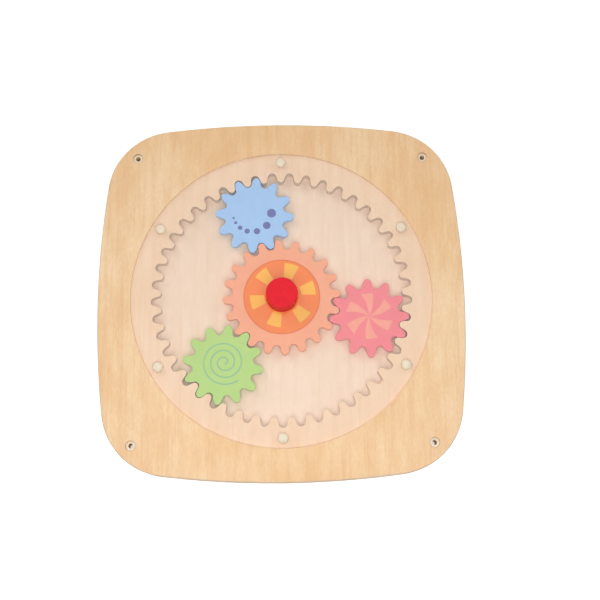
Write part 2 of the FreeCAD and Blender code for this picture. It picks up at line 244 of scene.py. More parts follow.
@dataclass(frozen=True)
class BirchVeneer(Finish):
    """Rotary-cut birch veneer, sanded and sealed with a clear satin lacquer.

    Peeling the log lays its growth rings open as faint arches, with fine fibres and a few warm
    veins along them. The sheet drifts from pale sapwood to warmer wood and back; on the face the
    drift is strong, and its darker bands there are partly painted shade for the dimmer light
    towards the top. The lacquer gives a low, even sheen.
    """

    pale: str
    warm: str
    figure: str
    drift_and_painted_shade: float = 0.25         # how much of the warm colour the sheet's wide bands reach
    roughness: float = 0.46
    shift: float = 0.0          # moves the figure, so that no two sheets are alike

    def lay_out(self, tree: NodeTree) -> None:
        """Lay the drift, patches, arches, veins, streaks, flecks and fibres over each other.

        Args:
            tree: The node tree.
        """
        drift_and_painted_shade = mottle(tree, (95.0, 130.0, 95.0), detail=1.0, shift=self.shift + 233.5)
        patches = mottle(tree, (12.0, 30.0, 12.0), detail=3.0, shift=self.shift + 4.0)
        warmed = add_node(tree, "ShaderNodeMix", COLOURS, {
            AMOUNT: weigh(tree, [(drift_and_painted_shade, self.drift_and_painted_shade), (patches, 0.38)]),
            FIRST: linear(self.pale), SECOND: linear(self.warm)})
        arches = add_node(tree, "ShaderNodeTexWave", {"bands_direction": "X"}, {
            "Vector": in_millimetres(tree, (60.0, 330.0, 60.0), self.shift), "Scale": 0.9,
            "Distortion": 11.0, "Detail": 2.5, "Detail Scale": 1.5, "Detail Roughness": 0.55})
        arch = add_node(tree, "ShaderNodeMapRange", SMOOTHLY, {
            "Value": arches.outputs[1], "From Min": 0.45, "From Max": 1.0})
        rare = mottle(tree, (3.2, 90.0, 3.2), -1.9, shift=self.shift + 15.0)
        veins = add_node(tree, "ShaderNodeMath", {"operation": "MAXIMUM"}, {0: rare, 1: 0.0})
        streaks = mottle(tree, (2.2, 46.0, 2.2), detail=3.0, shift=self.shift)
        flecks = mottle(tree, (1.5, 4.2, 1.5), detail=3.0, shift=self.shift + 9.0)
        fibres = mottle(tree, (0.9, 14.0, 0.9), shift=self.shift)
        lines = weigh(tree, [(arch.outputs[0], 0.12), (veins.outputs[0], 0.14), (streaks, 0.08),
                             (flecks, 0.18), (fibres, 0.1)])
        figured = add_node(tree, "ShaderNodeMix", COLOURS, {
            AMOUNT: lines, FIRST: warmed.outputs[MIXED], SECOND: linear(self.figure)})
        sheen = mottle(tree, (4.0, 30.0, 4.0), self.roughness - 0.04, self.roughness + 0.05)
        self.close(tree, figured.outputs[MIXED], sheen, fibres, 0.02)


@dataclass(frozen=True)
class PlywoodEdge(Finish):
    """Sawn and sanded edge of birch plywood.

    Plies that run along the edge are pale and smooth, and those that run into it show their dark
    open end grain. A thin brown line of glue lies between two plies.
    """

    pale: str
    end_grain: str
    glue: str
    ply: float = 1.33           # thickness of a ply

    def lay_out(self, tree: NodeTree) -> None:
        """Stack the plies along Z and break up the end grain.

        Args:
            tree: The node tree.
        """
        waver = mottle(tree, (30.0, 30.0, 400.0), -0.12, 0.12)
        height = add_node(tree, "ShaderNodeSeparateXYZ", inputs={
            0: in_millimetres(tree, (1.0, 1.0, 2 * self.ply))})
        level = add_node(tree, "ShaderNodeMath", {"operation": "ADD"}, {
            0: height.outputs["Z"], 1: waver})
        turn = add_node(tree, "ShaderNodeMath", {"operation": "MULTIPLY"}, {
            0: level.outputs[0], 1: 2 * math.pi})
        wave = add_node(tree, "ShaderNodeMath", {"operation": "SINE"}, {0: turn.outputs[0]})
        dark_ply = add_node(tree, "ShaderNodeMapRange", SMOOTHLY, {
            "Value": wave.outputs[0], "From Min": -0.15, "From Max": 0.15})
        pores = mottle(tree, (0.7, 0.7, 0.35), 0.35, detail=3.0)
        amount = add_node(tree, "ShaderNodeMath", {"operation": "MULTIPLY"}, {
            0: dark_ply.outputs[0], 1: pores})
        along = mottle(tree, (22.0, 22.0, 0.8), 0.0, 0.25, detail=3.0, shift=3.0)
        tone = add_node(tree, "ShaderNodeMath", {"operation": "ADD", "use_clamp": True}, {
            0: amount.outputs[0], 1: along})
        plies = add_node(tree, "ShaderNodeMix", COLOURS, {
            AMOUNT: tone.outputs[0], FIRST: linear(self.pale), SECOND: linear(self.end_grain)})
        near = add_node(tree, "ShaderNodeMath", {"operation": "ABSOLUTE"}, {0: wave.outputs[0]})
        glue = add_node(tree, "ShaderNodeMapRange", SMOOTHLY, {
            "Value": near.outputs[0], "From Min": 0.1, "From Max": 0.24,
            "To Min": 0.6, "To Max": 0.0})
        glued = add_node(tree, "ShaderNodeMix", COLOURS, {
            AMOUNT: glue.outputs[0], FIRST: plies.outputs[MIXED], SECOND: linear(self.glue)})
        rough = add_node(tree, "ShaderNodeMapRange", inputs={
            "Value": tone.outputs[0], "To Min": 0.5, "To Max": 0.72})
        self.close(tree, glued.outputs[MIXED], rough.outputs[0], tone.outputs[0], -0.04)


@dataclass(frozen=True)
class BoredBirch(Finish):
    """Birch freshly cut by a flat-bottomed bit.

    It has no lacquer, so it is paler than the face, dry, and marked by the bit's fine rings.
    The counterbore's wall uses it in dark colours, which paint the shade in the sinks.
    """

    pale: str
    dark: str

    def lay_out(self, tree: NodeTree) -> None:
        """Mix cut fibres with short dark tears.

        Args:
            tree: The node tree.
        """
        cut = mottle(tree, (0.8, 3.5, 0.8), 0.0, 0.45, detail=3.0)
        rough = mottle(tree, 1.5, 0.62, 0.78)
        fleshed = add_node(tree, "ShaderNodeMix", COLOURS, {
            AMOUNT: cut, FIRST: linear(self.pale), SECOND: linear(self.dark)})
        self.close(tree, fleshed.outputs[MIXED], rough, cut, 0.05)


@dataclass(frozen=True)
class ClearAcrylic(Finish):
    """Cast acrylic sheet, laser cut, with a faint bloom of fine scuffs.

    It is clear and glossy. Handling has left a slight haze that scatters a little light.
    """

    tint: str
    clearness: float = 0.98

    def lay_out(self, tree: NodeTree) -> None:
        """Give the sheet its faint scuffs.

        Args:
            tree: The node tree.
        """
        scuffs = mottle(tree, 9.0, 0.03, 0.07, detail=5.0)
        tinted = add_node(tree, "ShaderNodeMix", COLOURS, {
            AMOUNT: mottle(tree, 60.0, 0.0, 0.3), FIRST: linear(self.tint), SECOND: linear(WHITE)})
        ripple = mottle(tree, 40.0)
        self.close(tree, tinted.outputs[MIXED], scuffs, ripple, 0.002,
                   Transmission_Weight=self.clearness, IOR=1.49)


@dataclass(frozen=True)
class WheelPaint(Finish):
    """Water-based toy paint sprayed over a birch wheel.

    Two coats hide the wood's colour but not all of its grain, and dry to a satin film.
    """

    colour: str
    shade: str

    def lay_out(self, tree: NodeTree) -> None:
        """Let the wood's fibres and the spray's uneven coat show through.

        Args:
            tree: The node tree.
        """
        grain = mottle(tree, (1.2, 26.0, 1.2), 0.0, 0.5, detail=3.0)
        coat = mottle(tree, (11.0, 15.0, 11.0), 0.0, 0.5, shift=2.0)
        amount = add_node(tree, "ShaderNodeMath", {"operation": "ADD"}, {0: grain, 1: coat})
        painted = add_node(tree, "ShaderNodeMix", COLOURS, {
            AMOUNT: amount.outputs[0], FIRST: linear(self.colour), SECOND: linear(self.shade)})
        satin = mottle(tree, 5.0, 0.36, 0.44)
        self.close(tree, painted.outputs[MIXED], satin, grain, 0.015, Specular_IOR_Level=0.3)


@dataclass(frozen=True)
class ScreenInk(Finish):
    """Screen-printed ink on a painted wheel: flat, opaque, with a fine mesh mark."""

    colour: str
    shade: str

    def lay_out(self, tree: NodeTree) -> None:
        """Let the ink thin out a little in soft patches.

        Args:
            tree: The node tree.
        """
        coverage = mottle(tree, (4.0, 7.0, 4.0), 0.0, 0.8, detail=3.0)
        inked = add_node(tree, "ShaderNodeMix", COLOURS, {
            AMOUNT: coverage, FIRST: linear(self.colour), SECOND: linear(self.shade)})
        satin = mottle(tree, 3.0, 0.38, 0.48)
        # The mesh is 0.1 mm wide and is drawn three times as coarse to show at all.
        mesh = mottle(tree, 0.3)
        self.close(tree, inked.outputs[MIXED], satin, mesh, 0.004, Specular_IOR_Level=0.3)


@dataclass(frozen=True)
class GlossLacquer(Finish):
    """Coloured lacquer dipped over a turned beech knob.

    The dip levels out to a gloss, and the lathe's rings are left as a very faint ripple.
    """

    colour: str
    shade: str

    def lay_out(self, tree: NodeTree) -> None:
        """Give the dip its slight unevenness.

        Args:
            tree: The node tree.
        """
        dipped = add_node(tree, "ShaderNodeMix", COLOURS, {
            AMOUNT: mottle(tree, (8.0, 8.0, 5.0)),
            FIRST: linear(self.colour), SECOND: linear(self.shade)})
        gloss = mottle(tree, (3.0, 3.0, 1.2), 0.38, 0.46)
        rings = mottle(tree, (12.0, 12.0, 0.9))
        self.close(tree, dipped.outputs[MIXED], gloss, rings, 0.01, Specular_IOR_Level=0.16)


@dataclass(frozen=True)
class CapPlastic(Finish):
    """Injection-moulded polyethylene screw cap: cream, waxy, a little translucent."""

    colour: str
    shade: str

    def lay_out(self, tree: NodeTree) -> None:
        """Give the moulding its faint cloudiness and fine spark-eroded skin.

        Args:
            tree: The node tree.
        """
        moulded = add_node(tree, "ShaderNodeMix", COLOURS, {
            AMOUNT: mottle(tree, 3.5), FIRST: linear(self.colour), SECOND: linear(self.shade)})
        waxy = mottle(tree, 1.5, 0.3, 0.38)
        skin = mottle(tree, 0.4)
        self.close(tree, moulded.outputs[MIXED], waxy, skin, 0.006,
                   Subsurface_Weight=0.15, Subsurface_Scale=0.001)


@dataclass(frozen=True)
class ZincPlate(Finish):
    """Bright zinc plate on turned or stamped steel, with soft grey clouds and tool marks."""

    colour: str
    shade: str

    def lay_out(self, tree: NodeTree) -> None:
        """Cloud the plating and draw fine turning marks.

        Args:
            tree: The node tree.
        """
        plated = add_node(tree, "ShaderNodeMix", COLOURS, {
            AMOUNT: mottle(tree, 2.5, detail=4.0),
            FIRST: linear(self.colour), SECOND: linear(self.shade)})
        worn = mottle(tree, 1.4, 0.26, 0.42, detail=3.0)
        marks = mottle(tree, (0.5, 5.0, 0.3))
        self.close(tree, plated.outputs[MIXED], worn, marks, 0.006, Metallic=1.0)


@dataclass(frozen=True)
class MouldedNylon(Finish):
    """Natural injection-moulded nylon: milky white, slightly yellow, satin."""

    colour: str
    shade: str

    def lay_out(self, tree: NodeTree) -> None:
        """Give the moulding faint flow clouds.

        Args:
            tree: The node tree.
        """
        flow = mottle(tree, (3.0, 3.0, 6.0))
        milky = add_node(tree, "ShaderNodeMix", COLOURS, {
            AMOUNT: flow, FIRST: linear(self.colour), SECOND: linear(self.shade)})
        satin = mottle(tree, 1.0, 0.34, 0.44)
        self.close(tree, milky.outputs[MIXED], satin, flow, 0.006)


@dataclass(frozen=True)
class StudioPaper(Finish):
    """Matt white backdrop paper, see-through from below so that the back can be looked at."""

    colour: str
    shade: str
    lift: float                 # glow that makes it look white without lighting the object

    def lay_out(self, tree: NodeTree) -> None:
        """Make matt paper that looks white and keeps its shadows.

        Args:
            tree: The node tree.
        """
        fibre = add_node(tree, "ShaderNodeMix", COLOURS, {
            AMOUNT: mottle(tree, 30.0), FIRST: linear(self.colour), SECOND: linear(self.shade)})
        paper = add_node(tree, "ShaderNodeBsdfDiffuse", inputs={"Color": fibre.outputs[MIXED]})
        glowing = add_node(tree, "ShaderNodeMath", {"operation": "MULTIPLY"}, {
            0: seen_as_it_is(tree), 1: self.lift})
        glow = add_node(tree, "ShaderNodeEmission", inputs={"Strength": glowing.outputs[0]})
        lit = add_node(tree, "ShaderNodeAddShader", inputs={
            0: paper.outputs[0], 1: glow.outputs[0]})
        side = add_node(tree, "ShaderNodeNewGeometry")
        path = add_node(tree, "ShaderNodeLightPath")
        # Shadow rays pass too, so that the lamp under the paper reaches the panel's back.
        through = add_node(tree, "ShaderNodeMath", {"operation": "MAXIMUM"}, {
            0: side.outputs["Backfacing"], 1: path.outputs["Is Shadow Ray"]})
        clear = add_node(tree, "ShaderNodeBsdfTransparent")
        mixed = add_node(tree, "ShaderNodeMixShader", inputs={
            0: through.outputs[0], 1: lit.outputs[0], 2: clear.outputs[0]})
        add_node(tree, "ShaderNodeOutputMaterial", inputs={"Surface": mixed.outputs[0]})


# On the face the wide drift is strong and partly paints shade, darker towards the top.
FACE_VENEER = BirchVeneer("lacquered_birch_face", "#FBDEB7", "#EBBF8A", "#DDA873", drift_and_painted_shade=0.5)
BACK_VENEER = BirchVeneer("lacquered_birch_back", "#FAE0C0", "#F2D1A8", "#E0B384", shift=90.0)
RING_VENEER = BirchVeneer("routed_birch_ledge", "#FBDEC0", "#F4CDA5", "#EABB92", shift=21.0)
FLOOR_VENEER = BirchVeneer("birch_pocket_floor", "#FDE5D0", "#F5D5B8", "#E9C4A3", shift=47.0)
PLY_EDGE = PlywoodEdge("sanded_plywood_edge", "#E3CBB0", "#C6A88A", "#987C63")
ROUTED_PLY = PlywoodEdge("routed_plywood_wall", "#E1CFBD", "#CCB8A3", "#AE9884")
BORED_BIRCH = BoredBirch("bored_birch", "#FAEBD6", "#EBD0AA")
DRILLED_WALL = BoredBirch("drilled_birch_wall", "#E6CDA6", "#CDB084")
# The counterbore's wall gets dark colours that paint the shade in the sinks.
SHADED_SINK_WALL = BoredBirch("counterbore_wall_painted_shade", "#BE9E75", "#A4865C")
COVER_ACRYLIC = ClearAcrylic("clear_cast_acrylic", "#FBF9F7")
RED_LACQUER = GlossLacquer("red_dipped_lacquer", "#EC2936", "#E22633")
CAP_CREAM = CapPlastic("cream_cap_polyethylene", "#F3E6CE", "#EEDFC4")
ZINC = ZincPlate("bright_zinc_plate", "#C9CBCD", "#B2B5B8")
NYLON = MouldedNylon("natural_nylon", "#F2EFE4", "#E9E4D4")
SUN_PAINT = WheelPaint("salmon_wheel_paint", "#FBAA84", "#F8A27A")
BLUE_PAINT = WheelPaint("sky_wheel_paint", "#A4CDFA", "#9DC7F5")
PINK_PAINT = WheelPaint("rose_wheel_paint", "#F98089", "#F37882")
GREEN_PAINT = WheelPaint("leaf_wheel_paint", "#B5DA79", "#AED471")
SUN_INK = ScreenInk("orange_ink", "#FA8120", "#F87B18")
SUN_RIM_INK = ScreenInk("deep_orange_ink", "#E46722", "#DE611C")
WEDGE_INK = ScreenInk("amber_ink", "#FFBE36", "#FFB62C")
DOT_INK = ScreenInk("violet_ink", "#5C66AD", "#555FA6")
PINWHEEL_INK = ScreenInk("coral_ink", "#FDA28D", "#F99984")
SPIRAL_INK = ScreenInk("sea_ink", "#83BC98", "#7CB591")


# --- Shapes ----------------------------------------------

def put_in_scene(name: str, data: ID) -> Object:
    """Make an object and link it into the scene.

    Args:
        name: The object's name.
        data: Its mesh, lamp or camera.

    Returns:
        The object, at the origin.
    """
    made = bpy.data.objects.new(name, data)
    bpy.context.scene.collection.objects.link(made)
    return made


def polar(radius: float, degrees: float, centre: Point = (0.0, 0.0)) -> Point:
    """Give the point at a radius and an angle about a centre, all in millimetres and degrees."""
    angle = math.radians(degrees)
    return centre[0] + radius * math.cos(angle), centre[1] + radius * math.sin(angle)


def round_the_hub(first: float, count: int) -> list[float]:
    """Give the angles, in degrees, of a number of like things evenly spaced from the first."""
    return [first + 360.0 / count * number for number in range(count)]


def node_centre(node: str) -> Vector:
    """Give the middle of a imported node's box, at height 0, in metres."""
    low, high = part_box(node)
    return Vector(((low.x + high.x) / 2, (low.y + high.y) / 2, 0.0))


class Shape:
    """A mesh in the making, in metres, in the part's own frame."""

    def __init__(self) -> None:
        """Start empty."""
        self.mesh: BMesh = bmesh.new()

    @classmethod
    def of_node(cls, node: str) -> "Shape":
        """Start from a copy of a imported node, with its loose triangles merged into whole faces.

        Args:
            node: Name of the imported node.

        Returns:
            The merged copy.
        """
        shape = cls()
        shape.mesh.from_mesh(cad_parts[node].data)
        bmesh.ops.remove_doubles(shape.mesh, verts=shape.mesh.verts, dist=MERGE * MM)
        bmesh.ops.dissolve_limit(shape.mesh, angle_limit=math.radians(COPLANAR),
                                 verts=shape.mesh.verts, edges=shape.mesh.edges)
        shape.mesh.normal_update()
        return shape

    def rims(self, z: float, wanted: Callable[[Vector], bool] = lambda at: True) -> list[BMEdge]:
        """Find the edges that go round a level face at a height.

        Args:
            z: The height, in millimetres.
            wanted: Whether an edge with its middle here, in millimetres, is wanted.

        Returns:
            The edges between a level face and one that isn't.
        """
        found = []
        for edge in self.mesh.edges:
            middle = (edge.verts[0].co + edge.verts[1].co) / (2 * MM)
            at_height = all(abs(v.co.z / MM - z) < LEVEL for v in edge.verts)
            if at_height and len(edge.link_faces) == 2 and wanted(middle):
                if sum(abs(f.normal.z) > FLAT for f in edge.link_faces) == 1:
                    found.append(edge)
        return found

    def ease(self, edges: list[BMEdge], radius: float, segments: int = 2) -> None:
        """Round edges over.

        Args:
            edges: The edges.
            radius: How far the rounding reaches from each edge, in millimetres.
            segments: How many faces it has.
        """
        bmesh.ops.bevel(self.mesh, geom=edges, offset=radius * MM, offset_type="OFFSET",
                        affect="EDGES", segments=segments, profile=0.5, material=-1,
                        clamp_overlap=False, loop_slide=True)
        self.mesh.normal_update()

    def rebuild_outer_wall(self, centre: Vector, inside: float) -> None:
        """Replace a wheel's outer wall by one clean strip between its two outlines.

        Args:
            centre: The wheel's centre, in metres.
            inside: Walls nearer the centre than this, in millimetres, are kept.
        """
        wall = [face for face in self.mesh.faces if abs(face.normal.z) < STEEP
                and (face.calc_center_median() - centre).xy.length > inside * MM]
        bmesh.ops.delete(self.mesh, geom=wall, context="FACES")
        loose = [v for v in self.mesh.verts if not v.link_faces]
        bmesh.ops.delete(self.mesh, geom=loose, context="VERTS")
        outlines = [e for e in self.mesh.edges if len(e.link_faces) == 1]
        bmesh.ops.bridge_loops(self.mesh, edges=outlines)
        bmesh.ops.recalc_face_normals(self.mesh, faces=self.mesh.faces)
        self.mesh.normal_update()

    def turn(self, profile: Iterable[Point], steps: int) -> None:
        """Turn a profile round the part's own upright axis.

        Args:
            profile: Distance from the axis and height of each corner, in millimetres.
            steps: How many faces go round.
        """
        corners = [self.mesh.verts.new((r * MM, 0, z * MM)) for r, z in profile]
        edges = [self.mesh.edges.new(pair) for pair in zip(corners, corners[1:])]
        bmesh.ops.spin(self.mesh, geom=corners + edges, axis=(0, 0, 1), angle=2 * math.pi,
                       steps=steps, use_merge=True)
        bmesh.ops.remove_doubles(self.mesh, verts=self.mesh.verts, dist=MERGE * MM)
        bmesh.ops.recalc_face_normals(self.mesh, faces=self.mesh.faces)
        self.mesh.normal_update()

    def patch(self, steps: int, across: int, place: Callable[[float, float], Point]) -> None:
        """Lay a grid over any curved outline, at height 0.

        Args:
            steps: Faces along the patch.
            across: Faces across it.
            place: Where a point of the grid, from 0 to 1 along and across, lies, in millimetres.
        """
        grid = bmesh.ops.create_grid(self.mesh, x_segments=steps, y_segments=across, size=0.5)
        for vertex in grid["verts"]:
            x, y = place(vertex.co.x + 0.5, vertex.co.y + 0.5)
            vertex.co = Vector((x, y, 0.0)) * MM

    def disc(self, centre: Point, radius: float) -> None:
        """Lay a round disc at height 0, with its centre and radius in millimetres."""
        bmesh.ops.create_circle(self.mesh, cap_ends=True, segments=48, radius=radius * MM,
                                matrix=Matrix.Translation(Vector((*centre, 0.0)) * MM))

    def thicken(self, thickness: float) -> None:
        """Raise the flat faces into closed slabs.

        Args:
            thickness: How thick the slabs get, in millimetres.
        """
        raised = bmesh.ops.extrude_face_region(self.mesh, geom=self.mesh.faces[:])
        corners = [v for v in raised["geom"] if isinstance(v, BMVert)]
        bmesh.ops.translate(self.mesh, verts=corners, vec=(0, 0, thickness * MM))
        bmesh.ops.recalc_face_normals(self.mesh, faces=self.mesh.faces)

    def dress(self, name: str, body: str, finishes: list[Finish], slot: str,
              stands_for: Iterable[str] = (), choose: Callable[[BMFace], Finish] | None = None,
              sharp: float = 50.0) -> Object:
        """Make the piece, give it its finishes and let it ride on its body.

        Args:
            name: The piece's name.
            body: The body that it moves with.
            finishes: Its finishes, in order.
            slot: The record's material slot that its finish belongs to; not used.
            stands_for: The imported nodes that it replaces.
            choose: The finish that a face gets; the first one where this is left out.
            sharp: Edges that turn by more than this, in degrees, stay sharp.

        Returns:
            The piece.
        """
        for face in self.mesh.faces:
            face.smooth = True
            face.material_index = finishes.index(choose(face)) if choose else 0
        for edge in self.mesh.edges:
            edge.smooth = (len(edge.link_faces) == 2
                           and edge.calc_face_angle() < math.radians(sharp))
        data = bpy.data.meshes.new(name)
        self.mesh.to_mesh(data)
        self.mesh.free()
        piece = put_in_scene(name, data)
        for finish in finishes:
            data.materials.append(finish.material())
        even = piece.modifiers.new("even_shading", "WEIGHTED_NORMAL")
        even.keep_sharp = True
        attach(piece, body)
        if stands_for:
            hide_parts(*stands_for)
        log.info("%s: %d faces, rides on %s", name, len(data.polygons), body)
        return piece


# --- Panel -----------------------------------------------

@dataclass
class Panel:
    """The two boards: the face with its ring of inward teeth, and the back that floors it."""

    face_z: float = 18.0
    ledge_z: float = 15.0
    sink_z: float = 16.0
    seam_z: float = 6.0
    ring_reach: float = 140.0       # the ring's teeth lie inside this radius
    rebate_radius: float = 154.4
    hole_spacing: float = 300.0
    sink_radius: float = 5.0
    sink_margin: float = 0.5        # a face this near a sink's wall belongs to the hole
    step: float = 1.0               # a face this near the rebate's wall or the seam belongs to it
    hole_corners: int = 200         # faces with more corners than this are the face or the ledge
    veneer_tilt: float = 0.9        # faces turned up less than this get the plies' colour, which draws a darker line round the face
    ledge_tilt: float = 0.1         # roundings of the ledge turned up this much are still ledge
    routed_edge: float = 0.3
    sink_edge: float = 0.2
    rebate_edge: float = 0.08

    def from_wall_hole(self, at: Vector) -> float:
        """Give a point's distance from the nearest wall screw hole's axis, in millimetres."""
        half = self.hole_spacing / 2
        return math.hypot(abs(at.x) - half, abs(at.y) - half)

    def front_finish(self, face: BMFace) -> Finish:
        """Choose the finish of a face of the front board.

        Args:
            face: The face.

        Returns:
            Face veneer, routed ledge, plies, or a hole's bare wood.
        """
        at = face.calc_center_median() / MM
        away = self.from_wall_hole(at)
        if (away < self.sink_radius + self.sink_margin and len(face.verts) < self.hole_corners
                and at.z < self.face_z - LEVEL):
            if at.z < self.sink_z + LEVEL and abs(face.normal.z) > STEEP:
                return BORED_BIRCH
            # A sink's wall gets the dark wood that paints its shade; the bore below it gets
            # drilled birch.
            return SHADED_SINK_WALL if away > self.sink_radius - self.sink_margin else DRILLED_WALL
        if at.z < self.ledge_z + LEVEL and face.normal.z > self.ledge_tilt:
            return RING_VENEER
        if face.normal.z > self.veneer_tilt or face.normal.z < -SLOPED:
            return FACE_VENEER
        if at.xy.length < self.rebate_radius - self.step:
            return ROUTED_PLY
        # The rebate's wall is a cut ply edge, but it gets the pale ledge veneer so that the thin
        # gap round the cover looks lit: painted light.
        return RING_VENEER if at.xy.length < self.rebate_radius + self.step else PLY_EDGE

    def back_finish(self, face: BMFace) -> Finish:
        """Choose the finish of a face of the back board.

        Args:
            face: The face.

        Returns:
            Back veneer, pocket floor, plies, or a hole's bare wood.
        """
        at = face.calc_center_median() / MM
        if self.from_wall_hole(at) < self.sink_radius and abs(face.normal.z) < STEEP:
            return DRILLED_WALL
        if face.normal.z > SLOPED:
            return FLOOR_VENEER if at.z > self.seam_z - self.step else BORED_BIRCH
        return BACK_VENEER if face.normal.z < -SLOPED else PLY_EDGE

    def build_front(self) -> Object:
        """Build the front board with eased routed edges.

        Returns:
            The board.
        """
        board = Shape.of_node("front_board")
        ring = board.rims(self.ledge_z, lambda at: at.xy.length < self.ring_reach)
        board.ease(ring, self.routed_edge)
        rebate = board.rims(self.face_z, lambda at: at.xy.length < self.rebate_radius + self.step)
        board.ease(rebate, self.rebate_edge)
        sink_reach = self.sink_radius + self.sink_margin
        sinks = board.rims(self.face_z, lambda at: self.from_wall_hole(at) < sink_reach)
        board.ease(sinks, self.sink_edge)
        finishes = [FACE_VENEER, RING_VENEER, PLY_EDGE, BORED_BIRCH, DRILLED_WALL, ROUTED_PLY,
                    SHADED_SINK_WALL]
        return board.dress("panel_face_board", "board", finishes, "birch_plywood",
                           ["front_board"], self.front_finish)

    def build_back(self) -> Object:
        """Build the back board.

        Returns:
            The board.
        """
        finishes = [BACK_VENEER, FLOOR_VENEER, PLY_EDGE, BORED_BIRCH, DRILLED_WALL]
        return Shape.of_node("back_board").dress("panel_back_board", "board", finishes,
                                                 "birch_plywood", ["back_board"],
                                                 self.back_finish)

    def build(self) -> list[Object]:
        """Build both boards."""
        return [self.build_front(), self.build_back()]


# --- Cover -----------------------------------------------

@dataclass
class Cover:
    """The clear cover and the cream caps over its six screws."""

    seat_z: float = 15.0
    lift: float = 0.08              # it rests on high spots of the ledge, not on all of it
    rim_reach: float = 150.0        # only its outer rim lies outside this radius
    polished_edge: float = 0.12
    cap_shoulder_z: float = 19.2
    cap_shoulder_turn: float = 20.0     # in degrees
    cap_round: float = 0.7

    def build_sheet(self) -> Object:
        """Build the acrylic disc, which doesn't block the lamps.

        Returns:
            The disc.
        """
        sheet = Shape.of_node("cover_disc")
        for vertex in sheet.mesh.verts:
            if abs(vertex.co.z / MM - self.seat_z) < LEVEL:
                vertex.co.z += self.lift * MM
        rim = sheet.rims(self.seat_z + self.lift, lambda at: at.xy.length > self.rim_reach)
        sheet.ease(rim, self.polished_edge)
        piece = sheet.dress("clear_cover", "board", [COVER_ACRYLIC], "clear_acrylic",
                            ["cover_disc"], sharp=30.0)
        piece.visible_shadow = False
        piece.visible_diffuse = False
        return piece

    def build_caps(self) -> Object:
        """Build the six domed caps with soft shoulders.

        Returns:
            The caps, as one piece.
        """
        caps = Shape.of_node("screw_caps")
        turn = math.radians(self.cap_shoulder_turn)
        shoulders = [e for e in caps.mesh.edges
                     if all(abs(v.co.z / MM - self.cap_shoulder_z) < LEVEL for v in e.verts)
                     and len(e.link_faces) == 2 and e.calc_face_angle() > turn and e.is_convex]
        caps.ease(shoulders, self.cap_round, segments=4)
        return caps.dress("cap_domes", "board", [CAP_CREAM], "cream_cap_plastic", ["screw_caps"])

    def build(self) -> list[Object]:
        """Build the sheet and the caps."""
        return [self.build_sheet(), self.build_caps()]


# --- Wheels ----------------------------------------------

class Print(Enum):
    """The ornament printed on a wheel."""

    WEDGES = "wedges"
    DOTS = "dots"
    PINWHEEL = "pinwheel"
    SPIRAL = "spiral"


